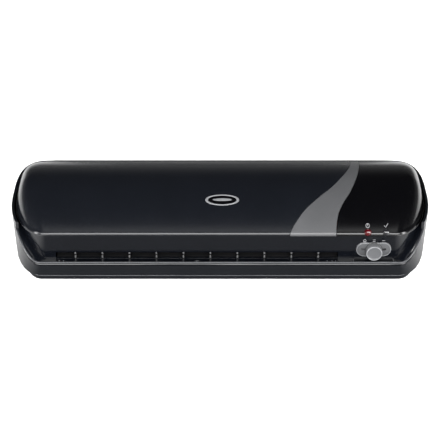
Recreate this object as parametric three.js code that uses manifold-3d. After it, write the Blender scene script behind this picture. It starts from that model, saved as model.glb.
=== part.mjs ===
// Pouch laminator: housing, hot rollers, gear train, slide switch and mains inlet.
// Millimetres, +Z up, +X to the right as seen from the entry side, -Y towards the user.
import * as THREE from 'three';
import { mergeVertices } from 'three/addons/utils/BufferGeometryUtils.js';
import Module from 'manifold-3d';

const wasm = await Module();
wasm.setup();

// Driving dimensions of the housing
const width = 350;
const depth = 130;
const height = 62;
const wall = 2.2;
const gap = 0.3;
const footHeight = 2.2;
const baseBottom = 2.5;
const plinthTop = 5.4;
const plinthRound = 0.8;
const skirtBottom = 1.6;
const front = -depth / 2;
const frontRimHeight = 17;
const endRimHeight = 42;
const rimRiseLength = 46;
const seamDrop = 2.1;
const seamGap = 0.5;

// Entry shelf, fascia and cover
const shelfHeight = 15.5;
const fasciaY = front + 11;
const slotLeft = -135;
const slotRight = 97;
const slotMiddle = (slotLeft + slotRight) / 2;
const slotHeight = 6;
const coverEdge = 38;
const coverFront = front + 9;
const coverBack = depth / 2 - wall - gap;
const coverMiddle = (coverFront + coverBack) / 2;
const coverReach = (coverBack - coverFront) / 2;

// Slide switch and lamps
const switchX = 126;
const switchZ = 25;
const switchStep = 7.7;
const knobRadius = 6.6;
const lampRadius = 2.8;
const lampX = [120.5, 135.5];

// Laminating mechanism
const nipHeight = 26;
const rollerRadius = 9;
const shaftRadius = 3;
const boreRadius = 3.3;
const lowerZ = nipHeight - rollerRadius;
const upperZ = nipHeight + rollerRadius;
const plateThickness = 1.5;
const leftFrameX = -147.5;
const rightFrameX = 106;
const sleeveLeft = -141;
const sleeveRight = 101;
const blockSize = 11.4;
const gearX = 112;
const gearWidth = 6;
const gearModule = 1;
const rollerTeeth = 18;
const pinionTeeth = 12;
const idlerY = gearModule * rollerTeeth;
const pinionAngle = THREE.MathUtils.degToRad(35);
const pinionDistance = (gearModule * (rollerTeeth + pinionTeeth)) / 2;
const pinionY = idlerY + pinionDistance * Math.cos(pinionAngle);
const pinionZ = lowerZ + pinionDistance * Math.sin(pinionAngle);

const laminator = new THREE.Group();

// Finishes

function finish(color, roughness, metalness = 0) {
  return new THREE.MeshStandardMaterial({ color, roughness, metalness });
}

const glossBlack = finish(0x0b0b0d, 0.12);
const satinBlack = finish(0x18191c, 0.35);
const trayBlack = finish(0x26282a, 0.45);
const bandGrey = finish(0x77797c, 0.4);
const knobGrey = finish(0x8b8d90, 0.4);
const rubber = finish(0x151515, 0.9);
const silicone = finish(0x9c3b22, 0.75);
const steel = finish(0xb9bcc0, 0.35, 1);
const aluminium = finish(0xc9ccd0, 0.45, 1);
const nylon = finish(0xe6e2d6, 0.55);
const board = finish(0x1f6b3a, 0.5);
const redLens = finish(0xb01018, 0.15);
const smokeLens = finish(0x1c1d1f, 0.1);
const brass = finish(0xc9a24a, 0.35, 1);

// Solids

function solid(geometry) {
  const bare = geometry.clone();
  bare.deleteAttribute('normal');
  bare.deleteAttribute('uv');
  const merged = mergeVertices(bare, 1e-4);
  const vertProperties = merged.attributes.position.array;
  const triVerts = new Uint32Array(merged.index.array);
  return new wasm.Manifold(new wasm.Mesh({ numProp: 3, vertProperties, triVerts }));
}

function addPart(name, shape, material) {
  const mesh = shape.asOriginal().simplify(0.002).getMesh();
  const geometry = new THREE.BufferGeometry();
  geometry.setAttribute('position', new THREE.BufferAttribute(mesh.vertProperties, 3));
  geometry.setIndex(new THREE.BufferAttribute(mesh.triVerts, 1));
  geometry.computeVertexNormals();
  const part = new THREE.Mesh(geometry, material);
  part.name = name;
  laminator.add(part);
  return part;
}

function box(x0, x1, y0, y1, z0, z1) {
  const geometry = new THREE.BoxGeometry(x1 - x0, y1 - y0, z1 - z0);
  geometry.translate((x0 + x1) / 2, (y0 + y1) / 2, (z0 + z1) / 2);
  return solid(geometry);
}

// Round bar from x0 to x1 about an axis parallel to X
function barX(radius, x0, x1, y, z, sides = 24) {
  const geometry = new THREE.CylinderGeometry(radius, radius, x1 - x0, sides);
  geometry.rotateZ(Math.PI / 2);
  geometry.translate((x0 + x1) / 2, y, z);
  return solid(geometry);
}

function barY(radius, y0, y1, x, z, sides = 32) {
  const geometry = new THREE.CylinderGeometry(radius, radius, y1 - y0, sides);
  geometry.translate(x, (y0 + y1) / 2, z);
  return solid(geometry);
}

function barZ(radius, z0, z1, x, y, sides = 20) {
  const geometry = new THREE.CylinderGeometry(radius, radius, z1 - z0, sides);
  geometry.rotateX(Math.PI / 2);
  geometry.translate(x, y, (z0 + z1) / 2);
  return solid(geometry);
}

// Outline drawn in the Y-Z plane and extruded along X
function slabX(outline, x0, x1) {
  const shape = new THREE.Shape(outline.map(([y, z]) => new THREE.Vector2(y, z)));
  const geometry = new THREE.ExtrudeGeometry(shape, { depth: x1 - x0, bevelEnabled: false });
  const position = geometry.attributes.position;
  for (let i = 0; i < position.count; i += 1) {
    position.setXYZ(i, x0 + position.getZ(i), position.getX(i), position.getY(i));
  }
  return solid(geometry);
}

// Extrudes a section in equal steps, then moves each vertex with place(u, v, t), t from 0 to 1
function sweep(section, steps, place) {
  const shape = new THREE.Shape(section.map(([u, v]) => new THREE.Vector2(u, v)));
  const geometry = new THREE.ExtrudeGeometry(shape, { depth: 1, steps, bevelEnabled: false });
  const position = geometry.attributes.position;
  for (let i = 0; i < position.count; i += 1) {
    position.setXYZ(i, ...place(position.getX(i), position.getY(i), position.getZ(i)));
  }
  const swept = solid(geometry);
  return swept.volume() < 0 ? solid(flip(geometry)) : swept;
}

function flip(geometry) {
  const position = geometry.attributes.position;
  for (let i = 0; i < position.count; i += 3) {
    const corner = [position.getX(i), position.getY(i), position.getZ(i)];
    position.setXYZ(i, position.getX(i + 1), position.getY(i + 1), position.getZ(i + 1));
    position.setXYZ(i + 1, ...corner);
  }
  return geometry;
}

// Drops the slivers that a cut leaves loose
function largest(shape) {
  return shape.decompose().reduce((a, b) => (b.volume() > a.volume() ? b : a));
}

function mix(a, b, t) {
  return a + (b - a) * t;
}

function clamp01(t) {
  return Math.min(1, Math.max(0, t));
}

// Housing outline

// Plan outline with straight sides and rounded ends, as [x, y] pairs: the rear corners are squarer
const rearSquareness = 3.3;

function planOutline(straight, end, half, perEnd = 16) {
  const outline = [];
  for (const side of [1, -1]) {
    for (let i = 0; i <= perEnd; i += 1) {
      const angle = Math.PI * (i / perEnd - 0.5);
      const power = 2 / (side * angle > 0 ? rearSquareness : 2);
      const out = Math.abs(Math.cos(angle)) ** power;
      const along = Math.sign(angle) * Math.abs(Math.sin(angle)) ** power;
      outline.push([side * (straight + end * out), side * half * along]);
    }
  }
  return outline;
}

// Size of the plan outline of the tray wall at a height
function wallSize(z) {
  const t = (z - plinthTop) / (endRimHeight - plinthTop);
  return {
    straight: mix(149, 143.7, t),
    end: mix(23.6, width / 2 - 143.7, t),
    half: mix(depth / 2 - 2, depth / 2, t),
  };
}

const unitOutline = planOutline(1, 1, 1);

// Moves a point of the unit outline to an outline of another size
function fitOutline(x, y, size, inset = 0) {
  const side = Math.sign(x);
  const along = Math.abs(x) - 1;
  return [side * (size.straight + (size.end - inset) * along), (size.half - inset) * y];
}

function wallBlock(z0, z1, inset) {
  return sweep(unitOutline, 6, (x, y, t) => {
    const z = mix(z0, z1, t);
    return [...fitOutline(x, y, wallSize(z), inset), z];
  });
}

function plinthBlock(z0, z1, inset) {
  const size = { straight: 147, end: 20, half: depth / 2 - 1.4 };
  return sweep(unitOutline, 8, (x, y, t) => {
    const z = mix(z0, z1, t);
    const rounding = 0.7 * clamp01((z - plinthTop + plinthRound) / plinthRound) ** 2;
    return [...fitOutline(x, y, size, inset + rounding), z];
  });
}

// Height of the housing rim, low along the entry side and rising towards the ends
function rimHeight(y) {
  const rise = clamp01((y - front) / rimRiseLength);
  return mix(frontRimHeight, endRimHeight, Math.sin((rise * Math.PI) / 2));
}

// Everything below the rim curve moved down by drop
function belowRim(drop) {
  const outline = [[front - 20, -10], [depth, -10], [depth, endRimHeight - drop]];
  const points = 14;
  for (let i = points; i >= 0; i -= 1) {
    const y = front + (rimRiseLength * i) / points;
    outline.push([y, rimHeight(y) - drop]);
  }
  outline.push([front - 20, frontRimHeight - drop]);
  return slabX(outline, -width, width);
}

const wallShell = wallBlock(plinthTop, endRimHeight, 0).subtract(wallBlock(plinthTop - 1, endRimHeight + 1, wall));

// Housing pieces

const screwPlaces = [[-155.5, -25], [-155.5, 25], [155.5, -25], [155.5, 25]];
const screwHeadZ = 3;
const bossTop = 19.7;
const ventCount = 11;
const ventPitch = 9;
const rearOpening = { left: slotLeft - 5, right: slotRight + 5, bottom: 19.5 };
const inlet = { x: 134, z: 19, halfWidth: 11, halfHeight: 7.5, inner: 46 };

function makeBaseTray() {
  const outside = wallBlock(plinthTop, endRimHeight, 0).add(plinthBlock(baseBottom, plinthTop + 1, 0));
  const inside = wallBlock(plinthTop + wall, endRimHeight + 1, wall)
    .add(plinthBlock(baseBottom + wall, plinthTop + wall + 1, wall));
  const skirt = plinthBlock(skirtBottom, baseBottom + 0.5, 0).subtract(plinthBlock(0, baseBottom + 1, 2));
  let tray = outside.subtract(inside).add(skirt).intersect(belowRim(seamDrop + seamGap));
  for (const [x, y] of screwPlaces) {
    tray = tray.add(barZ(3.9, baseBottom + 1, bossTop, x, y));
    tray = tray.subtract(barZ(1.9, 0, 30, x, y));
    tray = tray.subtract(barZ(3.4, 0, screwHeadZ + 2.3, x, y));
  }
  const { left, right, bottom } = rearOpening;
  tray = tray.subtract(box(left, right, depth / 2 - 8, depth, bottom, height));
  tray = tray.subtract(box(inlet.x - inlet.halfWidth - gap, inlet.x + inlet.halfWidth + gap, 50, depth,
    inlet.z - inlet.halfHeight - gap, inlet.z + inlet.halfHeight + gap));
  for (const x of [leftFrameX - 6, rightFrameX + 7]) {
    const y = x < 0 ? 0 : -27;
    tray = tray.subtract(barZ(1.8, baseBottom + 0.5, 10, x, y));
  }
  for (let row = -1; row <= 1; row += 2) {
    for (let i = 0; i < ventCount; i += 1) {
      const x = (i - (ventCount - 1) / 2) * ventPitch;
      tray = tray.subtract(box(x - 1.5, x + 1.5, row * 38 - 9, row * 38 + 9, 0, 7));
    }
  }
  return largest(tray.subtract(bezelRoom));
}

// Entry bezel: front lip, shelf that climbs round both ends, and the upright fascia above the slot
const recessEnd = THREE.MathUtils.degToRad(52);
const straightShare = 0.6;

function recessFrame(t) {
  const s = 2 * t - 1;
  const side = Math.sign(s) || 1;
  const turn = Math.max(0, (Math.abs(s) - straightShare) / (1 - straightShare)) * recessEnd;
  const along = Math.min(1, Math.abs(s) / straightShare);
  return { side, turn, along };
}

function recessPoint(turn, along, side, size, inset, middle) {
  const x = turn > 0 ? size.straight + (size.end - inset) * Math.sin(turn) : size.straight * along;
  return [side * x, middle - (size.half - inset) * Math.cos(turn)];
}

function shelfRise(turn) {
  return (turn / recessEnd) * (coverEdge - 1.4 - shelfHeight);
}

// Height of the shelf at share u of the way from the lip to the fascia
function shelfSurface(u, turn) {
  const rim = rimHeight(-Math.cos(turn) * (depth / 2));
  const dish = u <= lipShare ? 0 : Math.sin(((u - lipShare) / (1 - lipShare)) * (Math.PI / 2)) ** 0.5;
  return mix(rim, shelfHeight + shelfRise(turn), dish);
}

// Section where the shelf ends, drawn as [share, height]
const lipShare = 0.1;
const lipWidth = 2;
const lipDrop = 1.5;
const bezelThickness = 2;
const sectionScale = 10;

// The lip rounds over towards its outer edge, less so where it meets the rear surround
function lipSlope(u, turn) {
  const fade = mix(0.3, 1, clamp01((recessEnd - turn) / 0.2));
  return u < lipShare ? lipDrop * fade * (1 - u / lipShare) ** 2 : 0;
}

function bezelSection() {
  const shares = [0, lipShare, 0.2, 0.45, 0.75, 1];
  const topShares = [0, lipShare * 0.25, lipShare * 0.6, ...shares.slice(1)];
  const top = topShares.map((u) => [u * sectionScale, shelfSurface(u, recessEnd) - lipSlope(u, recessEnd)]);
  const under = shares.map((u) => [u * sectionScale, shelfSurface(u, recessEnd) - bezelThickness]).reverse();
  const fasciaTop = coverEdge + 3;
  const back = 1.2 * sectionScale;
  return [...top, [sectionScale, fasciaTop], [back, fasciaTop], [back, under[0][1]], ...under.slice(1)];
}

// The bezel as one sheet; a thicker, longer one is the room that its neighbours leave for it
function bezelSheet(thickness, stretch) {
  const fascia = { straight: 143, end: 27.3, half: coverMiddle - fasciaY };
  return sweep(bezelSection(), 50, (across, up, t) => {
    const { side, turn: plainTurn, along } = recessFrame(t);
    const turn = plainTurn * stretch;
    const u = across / sectionScale;
    const surface = shelfSurface(Math.min(u, 1), turn);
    const isTop = up > shelfSurface(Math.min(u, 1), recessEnd) - bezelThickness * 0.9;
    const isFasciaTop = up > coverEdge + 1;
    const z = isFasciaTop ? coverEdge - gap : surface - (isTop ? lipSlope(u, turn) : thickness);
    if (u > 1) {
      return [...recessPoint(turn, along, side, fascia, wall, coverMiddle), z];
    }
    const rim = rimHeight(-Math.cos(turn) * (depth / 2));
    const outer = recessPoint(turn, along, side, wallSize(rim), 0, 0);
    const inner = recessPoint(turn, along, side, fascia, 0, coverMiddle);
    const lip = lipWidth / Math.hypot(inner[0] - outer[0], inner[1] - outer[1]);
    const reach = u <= lipShare ? (u / lipShare) * lip : mix(lip, 1, (u - lipShare) / (1 - lipShare));
    return [mix(outer[0], inner[0], reach), mix(outer[1], inner[1], reach), z];
  });
}

const plainBezel = bezelSheet(bezelThickness, 1);
const bezelRoom = bezelSheet(bezelThickness + seamGap, 1.02).add(plainBezel);

function makeEntryBezel() {
  const slot = box(slotLeft, slotRight, fasciaY - 0.5, fasciaY + 8, shelfHeight + 0.15, shelfHeight + slotHeight);
  const switchWindow = box(switchX - 14, switchX + 14, fasciaY - 1, fasciaY + 8, switchZ - 3.5, switchZ + 3.5);
  const knobPocket = box(110.5, 141.5, front + 2.5, fasciaY + 1, shelfHeight - 0.7, shelfHeight + 1);
  return plainBezel.subtract(slot).subtract(switchWindow).subtract(knobPocket);
}

function makeRearSurround() {
  const splitY = -Math.cos(recessEnd) * (depth / 2) + gap;
  const band = wallShell.subtract(belowRim(seamDrop)).intersect(box(-width, width, splitY, depth, 0, height));
  const { left, right, bottom } = rearOpening;
  const panel = wallShell.intersect(box(left + gap, right - gap, depth / 2 - 8, depth, bottom + gap, height));
  const exitSlot = box(slotLeft, slotRight, depth / 2 - 8, depth, nipHeight - 3.5, nipHeight + 3.5);
  return largest(band.add(panel).subtract(exitSlot).subtract(bezelRoom));
}

// Top cover in three pieces

const coverLevels = 18;
const filletShare = 0.25;
const filletTurn = THREE.MathUtils.degToRad(51);
const filletInset = 1.6;
const filletHeight = 3.5;
const crestHalf = 4;
const endInset = 14;
const archHalf = coverReach - filletInset;
const archRise = height - coverEdge - filletHeight;
const archRadius = (archHalf ** 2 + archRise ** 2) / (2 * archRise);

// Inset from the cover's edge and height, from the edge (t = 0) over the fillet to the crest (t = 1)
function coverProfile(t) {
  if (t <= filletShare) {
    const turn = (t / filletShare) * filletTurn;
    const inset = (filletInset * (1 - Math.cos(turn))) / (1 - Math.cos(filletTurn));
    return { inset, z: coverEdge + (filletHeight * Math.sin(turn)) / Math.sin(filletTurn) };
  }
  const from = Math.asin(archHalf / archRadius);
  const to = Math.asin(crestHalf / archRadius);
  const angle = mix(from, to, (t - filletShare) / (1 - filletShare));
  return { inset: coverReach - archRadius * Math.sin(angle), z: height - archRadius * (1 - Math.cos(angle)) };
}

// Arched cover body: the plan outline shrinks towards the crest
function coverBody(inner) {
  return sweep(unitOutline, coverLevels, (x, y, t) => {
    const { inset, z } = coverProfile(t);
    const rise = clamp01((z - coverEdge - filletHeight) / archRise);
    const endCut = z < coverEdge + filletHeight ? inset : filletInset + (endInset - filletInset) * (1 - Math.sqrt(1 - rise * rise));
    const half = coverReach - inset;
    const end = 28.8 * (0.3 + (0.7 * half) / coverReach);
    const size = { straight: 171.8 - endCut - end, end, half };
    const [px, py] = fitOutline(x, y, size, inner * Math.min(1, half / 20));
    const scale = (height - inner - coverEdge) / (height - coverEdge);
    const drop = inner && t === 0 ? 1 : 0;
    return [px, py + coverMiddle, coverEdge + (z - coverEdge) * scale - drop];
  });
}

// Edges of the accent band in plan, as curves from the entry side to the rear
const bandLeft = new THREE.SplineCurve([
  new THREE.Vector2(57.5, -62), new THREE.Vector2(58, -55), new THREE.Vector2(64, -37),
  new THREE.Vector2(72.5, -17), new THREE.Vector2(84, 2), new THREE.Vector2(98.5, 23),
  new THREE.Vector2(111, 46), new THREE.Vector2(115.5, 68),
]);
const bandRight = new THREE.SplineCurve([
  new THREE.Vector2(96, -62), new THREE.Vector2(96.2, -55), new THREE.Vector2(96.6, -40),
  new THREE.Vector2(99, -22), new THREE.Vector2(104, -6), new THREE.Vector2(112, 15),
  new THREE.Vector2(119, 38), new THREE.Vector2(121.5, 52), new THREE.Vector2(122, 68),
]);

// Upright block to one side of a curve, shifted along X
function beside(curve, shift, farX) {
  const edge = curve.getPoints(26).map((point) => [point.x + shift, point.y]);
  const outline = [[farX, -90], [edge[0][0], -90], ...edge, [edge[edge.length - 1][0], 90], [farX, 90]];
  return sweep(outline, 1, (x, y, t) => [x, y, t * 100]);
}

function makeCovers() {
  const shell = coverBody(0).subtract(coverBody(wall));
  const hollow = coverBody(wall);
  const half = gap / 2;
  const lampHoles = lampX.map((x) => lamp(x, lampRadius + 0.25, -8, 8));
  let leftPiece = shell.intersect(beside(bandLeft, -half, -200));
  const bandPiece = shell.intersect(beside(bandLeft, half, 200)).intersect(beside(bandRight, -half, -200));
  let endPiece = shell.intersect(beside(bandRight, half, 200));
  for (const [x, y] of screwPlaces) {
    const post = barZ(3.9, bossTop + gap, height, x, y).intersect(hollow.add(barZ(3.9, bossTop + gap, coverEdge, x, y)));
    const joined = post.add(barZ(3.9, coverEdge, height, x, y).intersect(coverBody(0)));
    const hole = barZ(1.8, 0, 28, x, y);
    if (x < 0) {
      leftPiece = leftPiece.add(joined).subtract(hole);
    } else {
      endPiece = endPiece.add(joined).subtract(hole);
    }
  }
  for (const hole of lampHoles) {
    endPiece = endPiece.subtract(hole);
  }
  addPart('top_cover', leftPiece, satinBlack);
  addPart('accent_band', bandPiece, bandGrey);
  addPart('control_end_cover', endPiece, glossBlack);
}

// Lamps and slide switch

const lampTilt = THREE.MathUtils.degToRad(15);
const lampPoint = { y: coverFront + 0.4, z: coverEdge + 3.3 };

// Round bar on the lamp axis, from back to out along it
function lamp(x, radius, back, out) {
  const geometry = new THREE.CylinderGeometry(radius, radius, out - back, 24);
  geometry.translate(0, (out + back) / 2, 0);
  geometry.rotateX(Math.PI - lampTilt);
  geometry.translate(x, lampPoint.y, lampPoint.z);
  return solid(geometry);
}

function makeLampLens(x) {
  const profile = [new THREE.Vector2(0, -7), new THREE.Vector2(1.8, -7), new THREE.Vector2(1.8, -1.6)];
  profile.push(new THREE.Vector2(lampRadius, -1.6));
  for (let i = 0; i <= 6; i += 1) {
    const angle = (i / 6) * (Math.PI / 2);
    profile.push(new THREE.Vector2(lampRadius * Math.cos(angle), 0.3 + 1.9 * Math.sin(angle)));
  }
  profile[profile.length - 1].x = 0;
  const geometry = new THREE.LatheGeometry(profile, 24);
  geometry.rotateX(Math.PI - lampTilt);
  geometry.translate(x, lampPoint.y, lampPoint.z);
  return solid(geometry);
}

function makeEscutcheon() {
  const face = fasciaY - gap;
  let plate = barY(6.7, face - 1.2, face, switchX, switchZ);
  for (const side of [-1, 1]) {
    plate = plate.add(barY(6.7, face - 0.9, face, switchX + side * switchStep, switchZ));
  }
  return plate.subtract(box(switchX - switchStep - 2.6, switchX + switchStep + 2.6, face - 3, face + 1,
    switchZ - 0.9, switchZ + 0.9));
}

function makeKnob() {
  const back = fasciaY - gap - 1.5;
  const profile = [
    new THREE.Vector2(0, 0), new THREE.Vector2(knobRadius, 0), new THREE.Vector2(knobRadius, 5.6),
    new THREE.Vector2(knobRadius - 0.6, 6.3), new THREE.Vector2(knobRadius - 1.2, 6.3),
    new THREE.Vector2(knobRadius - 1.6, 5.9), new THREE.Vector2(0, 5.9),
  ];
  const geometry = new THREE.LatheGeometry(profile, 40);
  geometry.rotateX(Math.PI);
  geometry.translate(switchX, back, switchZ);
  const stem = box(switchX - 2.2, switchX + 2.2, back - 0.5, fasciaY + 3.2, switchZ - 0.6, switchZ + 0.6);
  return solid(geometry).add(stem);
}

const boardFace = fasciaY + 11.5;

function makeSwitchBody() {
  const y0 = fasciaY + wall + gap;
  const body = box(switchX - 15, switchX + 15, y0, boardFace - gap, switchZ - 5, switchZ + 5);
  const nose = box(switchX - 13.6, switchX + 13.6, fasciaY + 0.2, y0 + 1, switchZ - 3.1, switchZ + 3.1);
  const groove = box(switchX - 10.6, switchX + 10.6, fasciaY - 1, y0 + 3, switchZ - 0.9, switchZ + 0.9);
  return body.add(nose).subtract(groove);
}

// Rollers, frames and gears

function makeFrame(x0, flangeSide) {
  const outline = flangeSide < 0
    ? [[-34, 5], [38, 5], [38, 34], [15, 51], [-15, 51], [-34, 33]]
    : [[-34, 5], [47, 5], [47, 40], [34, 43], [15, 51], [-15, 51], [-34, 33]];
  const x1 = x0 + plateThickness;
  let frame = slabX(outline, x0, x1);
  frame = frame.subtract(barX(5.6, x0 - 1, x1 + 1, 0, lowerZ));
  frame = frame.subtract(box(x0 - 1, x1 + 1, -6, 6, upperZ - 6, 48.5));
  const flangeY = flangeSide < 0 ? 0 : -27;
  const [a, b] = flangeSide < 0 ? [x0 - 9, x0 + 1] : [x1 - 1, x1 + 9];
  frame = frame.add(box(a, b, flangeY - 6.5, flangeY + 6.5, 5, 6.5));
  const screwX = flangeSide < 0 ? leftFrameX - 6 : rightFrameX + 7;
  return frame.subtract(barZ(1.8, 0, 10, screwX, flangeY));
}

function bored(shape, y, z, radius = boreRadius) {
  return shape.subtract(barX(radius, -width, width, y, z));
}

function makeSpring(x) {
  const turns = 4;
  const low = upperZ + blockSize / 2 + 0.3 + 0.5;
  const high = 48.5 - 0.3 - 0.5;
  const points = [];
  for (let i = 0; i <= turns * 8; i += 1) {
    const angle = (i / 8) * 2 * Math.PI;
    const z = mix(low, high, i / (turns * 8));
    points.push(new THREE.Vector3(x + 2.6 * Math.cos(angle), 2.6 * Math.sin(angle), z));
  }
  const wire = new THREE.Shape();
  wire.absarc(0, 0, 0.45, 0, 2 * Math.PI);
  const path = new THREE.CatmullRomCurve3(points);
  const options = { steps: turns * 9, curveSegments: 3, extrudePath: path, bevelEnabled: false };
  return solid(new THREE.ExtrudeGeometry(wire, options));
}

// Involute spur gear drawn in the Y-Z plane; phase turns the first tooth
function gearOutline(teeth, phase) {
  const pitch = (gearModule * teeth) / 2;
  const baseCircle = pitch * Math.cos(THREE.MathUtils.degToRad(20));
  const root = pitch - 1.2 * gearModule;
  const tip = pitch + 0.92 * gearModule;
  const involute = (r) => {
    const pressure = Math.acos(Math.min(1, baseCircle / r));
    return Math.tan(pressure) - pressure;
  };
  const halfTooth = Math.PI / (2 * teeth) - 0.16 / pitch;
  const radii = [Math.max(baseCircle, root + 0.2), pitch + 0.1, tip];
  const outline = [];
  for (let tooth = 0; tooth < teeth; tooth += 1) {
    const centre = phase + (tooth * 2 * Math.PI) / teeth;
    const widthAt = (r) => halfTooth + involute(pitch) - involute(r);
    const rootHalf = widthAt(radii[0]) + 0.02;
    outline.push([root, centre - rootHalf]);
    radii.forEach((r) => outline.push([r, centre - widthAt(r)]));
    [...radii].reverse().forEach((r) => outline.push([r, centre + widthAt(r)]));
    outline.push([root, centre + rootHalf]);
  }
  return outline.map(([r, angle]) => [r * Math.cos(angle), r * Math.sin(angle)]);
}

function makeGear(teeth, y, z, phase, x0, x1) {
  const outline = gearOutline(teeth, phase).map(([a, b]) => [y + a, z + b]);
  return slabX(outline, x0, x1);
}

// Half tube round a roller: opening 1 keeps the upper half, -1 the lower half
function heaterShell(inner, thickness, z, opening, x0, x1) {
  const tube = barX(inner + thickness, x0, x1, 0, z, 32).subtract(barX(inner, x0 - 1, x1 + 1, 0, z, 32));
  const keep = opening > 0 ? box(x0 - 1, x1 + 1, -30, 30, z + 1, z + 40) : box(x0 - 1, x1 + 1, -30, 30, z - 40, z - 1);
  return tube.intersect(keep);
}

function guideSheet(points, thickness, x0, x1) {
  const under = points.map(([y, z]) => [y, z - thickness]).reverse();
  return slabX([...points, ...under], x0, x1);
}

const ribCount = 10;
const ribPitch = 22.2;

function ribs(guide, outline) {
  let ribbed = guide;
  for (let i = 0; i < ribCount; i += 1) {
    const x = slotMiddle + (i - (ribCount - 1) / 2) * ribPitch;
    ribbed = ribbed.add(slabX(outline, x - 0.65, x + 0.65));
  }
  return ribbed;
}

// Assembly

addPart('base_tray', makeBaseTray(), trayBlack);
addPart('entry_bezel', makeEntryBezel(), glossBlack);
addPart('rear_surround', makeRearSurround(), trayBlack);
makeCovers();

const footPlaces = [[-128, -46], [128, -46], [-128, 46], [128, 46]];
footPlaces.forEach(([x, y], i) => addPart(`foot_${i + 1}`, barZ(8, 0, footHeight, x, y, 28), rubber));

screwPlaces.forEach(([x, y], i) => {
  const head = barZ(3.1, screwHeadZ, screwHeadZ + 2, x, y);
  addPart(`case_screw_${i + 1}`, head.add(barZ(1.5, screwHeadZ + 1, 26, x, y, 12)), steel);
});

addPart('power_lens', makeLampLens(lampX[0]), redLens);
addPart('ready_lens', makeLampLens(lampX[1]), smokeLens);
addPart('switch_escutcheon', makeEscutcheon(), bandGrey);
addPart('slide_knob', makeKnob(), knobGrey);
addPart('slide_switch', makeSwitchBody(), satinBlack);
addPart('control_board', box(111, 154, boardFace, boardFace + 1.6, 12, 36), board);

const socket = box(inlet.x - 8.5, inlet.x + 8.5, depth / 2 - 11, depth, inlet.z - 4.2, inlet.z + 4.2);
const inletBody = box(inlet.x - inlet.halfWidth, inlet.x + inlet.halfWidth, inlet.inner, depth / 2 - 1,
  inlet.z - inlet.halfHeight, inlet.z + inlet.halfHeight);
addPart('mains_inlet', inletBody.subtract(socket), trayBlack);
for (const [name, side] of [['inlet_pin_left', -1], ['inlet_pin_right', 1]]) {
  addPart(name, barY(1.15, depth / 2 - 10.7, depth / 2 - 5, inlet.x + side * 4.3, inlet.z, 12), brass);
}

addPart('frame_left', makeFrame(leftFrameX, -1), steel);
addPart('frame_right', makeFrame(rightFrameX, 1), steel);
for (const [name, x, y] of [['frame_screw_left', leftFrameX - 6, 0], ['frame_screw_right', rightFrameX + 7, -27]]) {
  addPart(name, barZ(3, 6.8, 8.6, x, y).add(barZ(1.5, baseBottom + 0.8, 7, x, y, 12)), steel);
}
const frameInside = [leftFrameX + plateThickness + gap, rightFrameX - gap];
addPart('tie_bar_front', barX(2.5, ...frameInside, -24, 37, 16), steel);
addPart('tie_bar_rear', barX(2.5, ...frameInside, 26, 38, 16), steel);

const shaftEnds = [leftFrameX - 3.2, gearX + gearWidth + 1.5];
for (const [name, z] of [['lower', lowerZ], ['upper', upperZ]]) {
  const sleeve = barX(rollerRadius, sleeveLeft, sleeveRight, 0, z, 36);
  addPart(`${name}_roller_shaft`, barX(shaftRadius, ...shaftEnds, 0, z), steel);
  addPart(`${name}_roller_sleeve`, bored(sleeve, 0, z), silicone);
}
for (const [name, x] of [['left', leftFrameX + plateThickness / 2], ['right', rightFrameX + plateThickness / 2]]) {
  const bush = barX(5.3, x - 2, x + 2, 0, lowerZ);
  const block = box(x - 2.2, x + 2.2, -blockSize / 2, blockSize / 2, upperZ - blockSize / 2, upperZ + blockSize / 2);
  addPart(`lower_bush_${name}`, bored(bush, 0, lowerZ), nylon);
  addPart(`upper_bearing_block_${name}`, bored(block, 0, upperZ), nylon);
  addPart(`pressure_spring_${name}`, makeSpring(x), steel);
}

const toothAngle = Math.PI / rollerTeeth;
const gearEnd = gearX + gearWidth;
const lowerGear = makeGear(rollerTeeth, 0, lowerZ, toothAngle, gearX, gearEnd);
addPart('lower_roller_gear', bored(lowerGear, 0, lowerZ), nylon);
const upperGear = makeGear(rollerTeeth, 0, upperZ, toothAngle * 2, gearX, gearEnd);
addPart('upper_roller_gear', bored(upperGear, 0, upperZ), nylon);
const idlerGear = makeGear(rollerTeeth, idlerY, lowerZ, 0, gearX, gearEnd);
addPart('idler_gear', bored(idlerGear, idlerY, lowerZ, 2.3), nylon);
addPart('idler_pin', barX(2, rightFrameX + plateThickness + gap, gearEnd + 1.5, idlerY, lowerZ, 16), steel);

// The pinion tooth gap faces the idler tooth or gap that lies on their centre line
const idlerTurn = pinionAngle / (2 * toothAngle);
const idlerOffset = (idlerTurn - Math.round(idlerTurn)) * 2 * toothAngle;
const pinionTooth = (2 * Math.PI) / pinionTeeth;
const pinionPhase = pinionAngle + Math.PI + pinionTooth / 2 + (idlerOffset * rollerTeeth) / pinionTeeth;
const pinion = makeGear(pinionTeeth, pinionY, pinionZ, pinionPhase, gearX, gearEnd);
addPart('motor_pinion', pinion.add(barX(2, gearEnd - 1, gearEnd + 2.4, pinionY, pinionZ, 16)), nylon);
const motorX = gearEnd + 2.7;
const gearbox = box(motorX, motorX + 10, pinionY - 13.5, pinionY + 13.5, pinionZ - 13.5, pinionZ + 13.5);
addPart('gear_motor', gearbox.add(barX(11.5, motorX + 9, motorX + 29, pinionY, pinionZ, 28)), steel);
for (const [name, side] of [['motor_standoff_lower', -1], ['motor_standoff_upper', 1]]) {
  const x0 = rightFrameX + plateThickness + gap;
  addPart(name, barX(2.5, x0, motorX - gap, pinionY + 10.5, pinionZ + side * 10, 14), steel);
}

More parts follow.
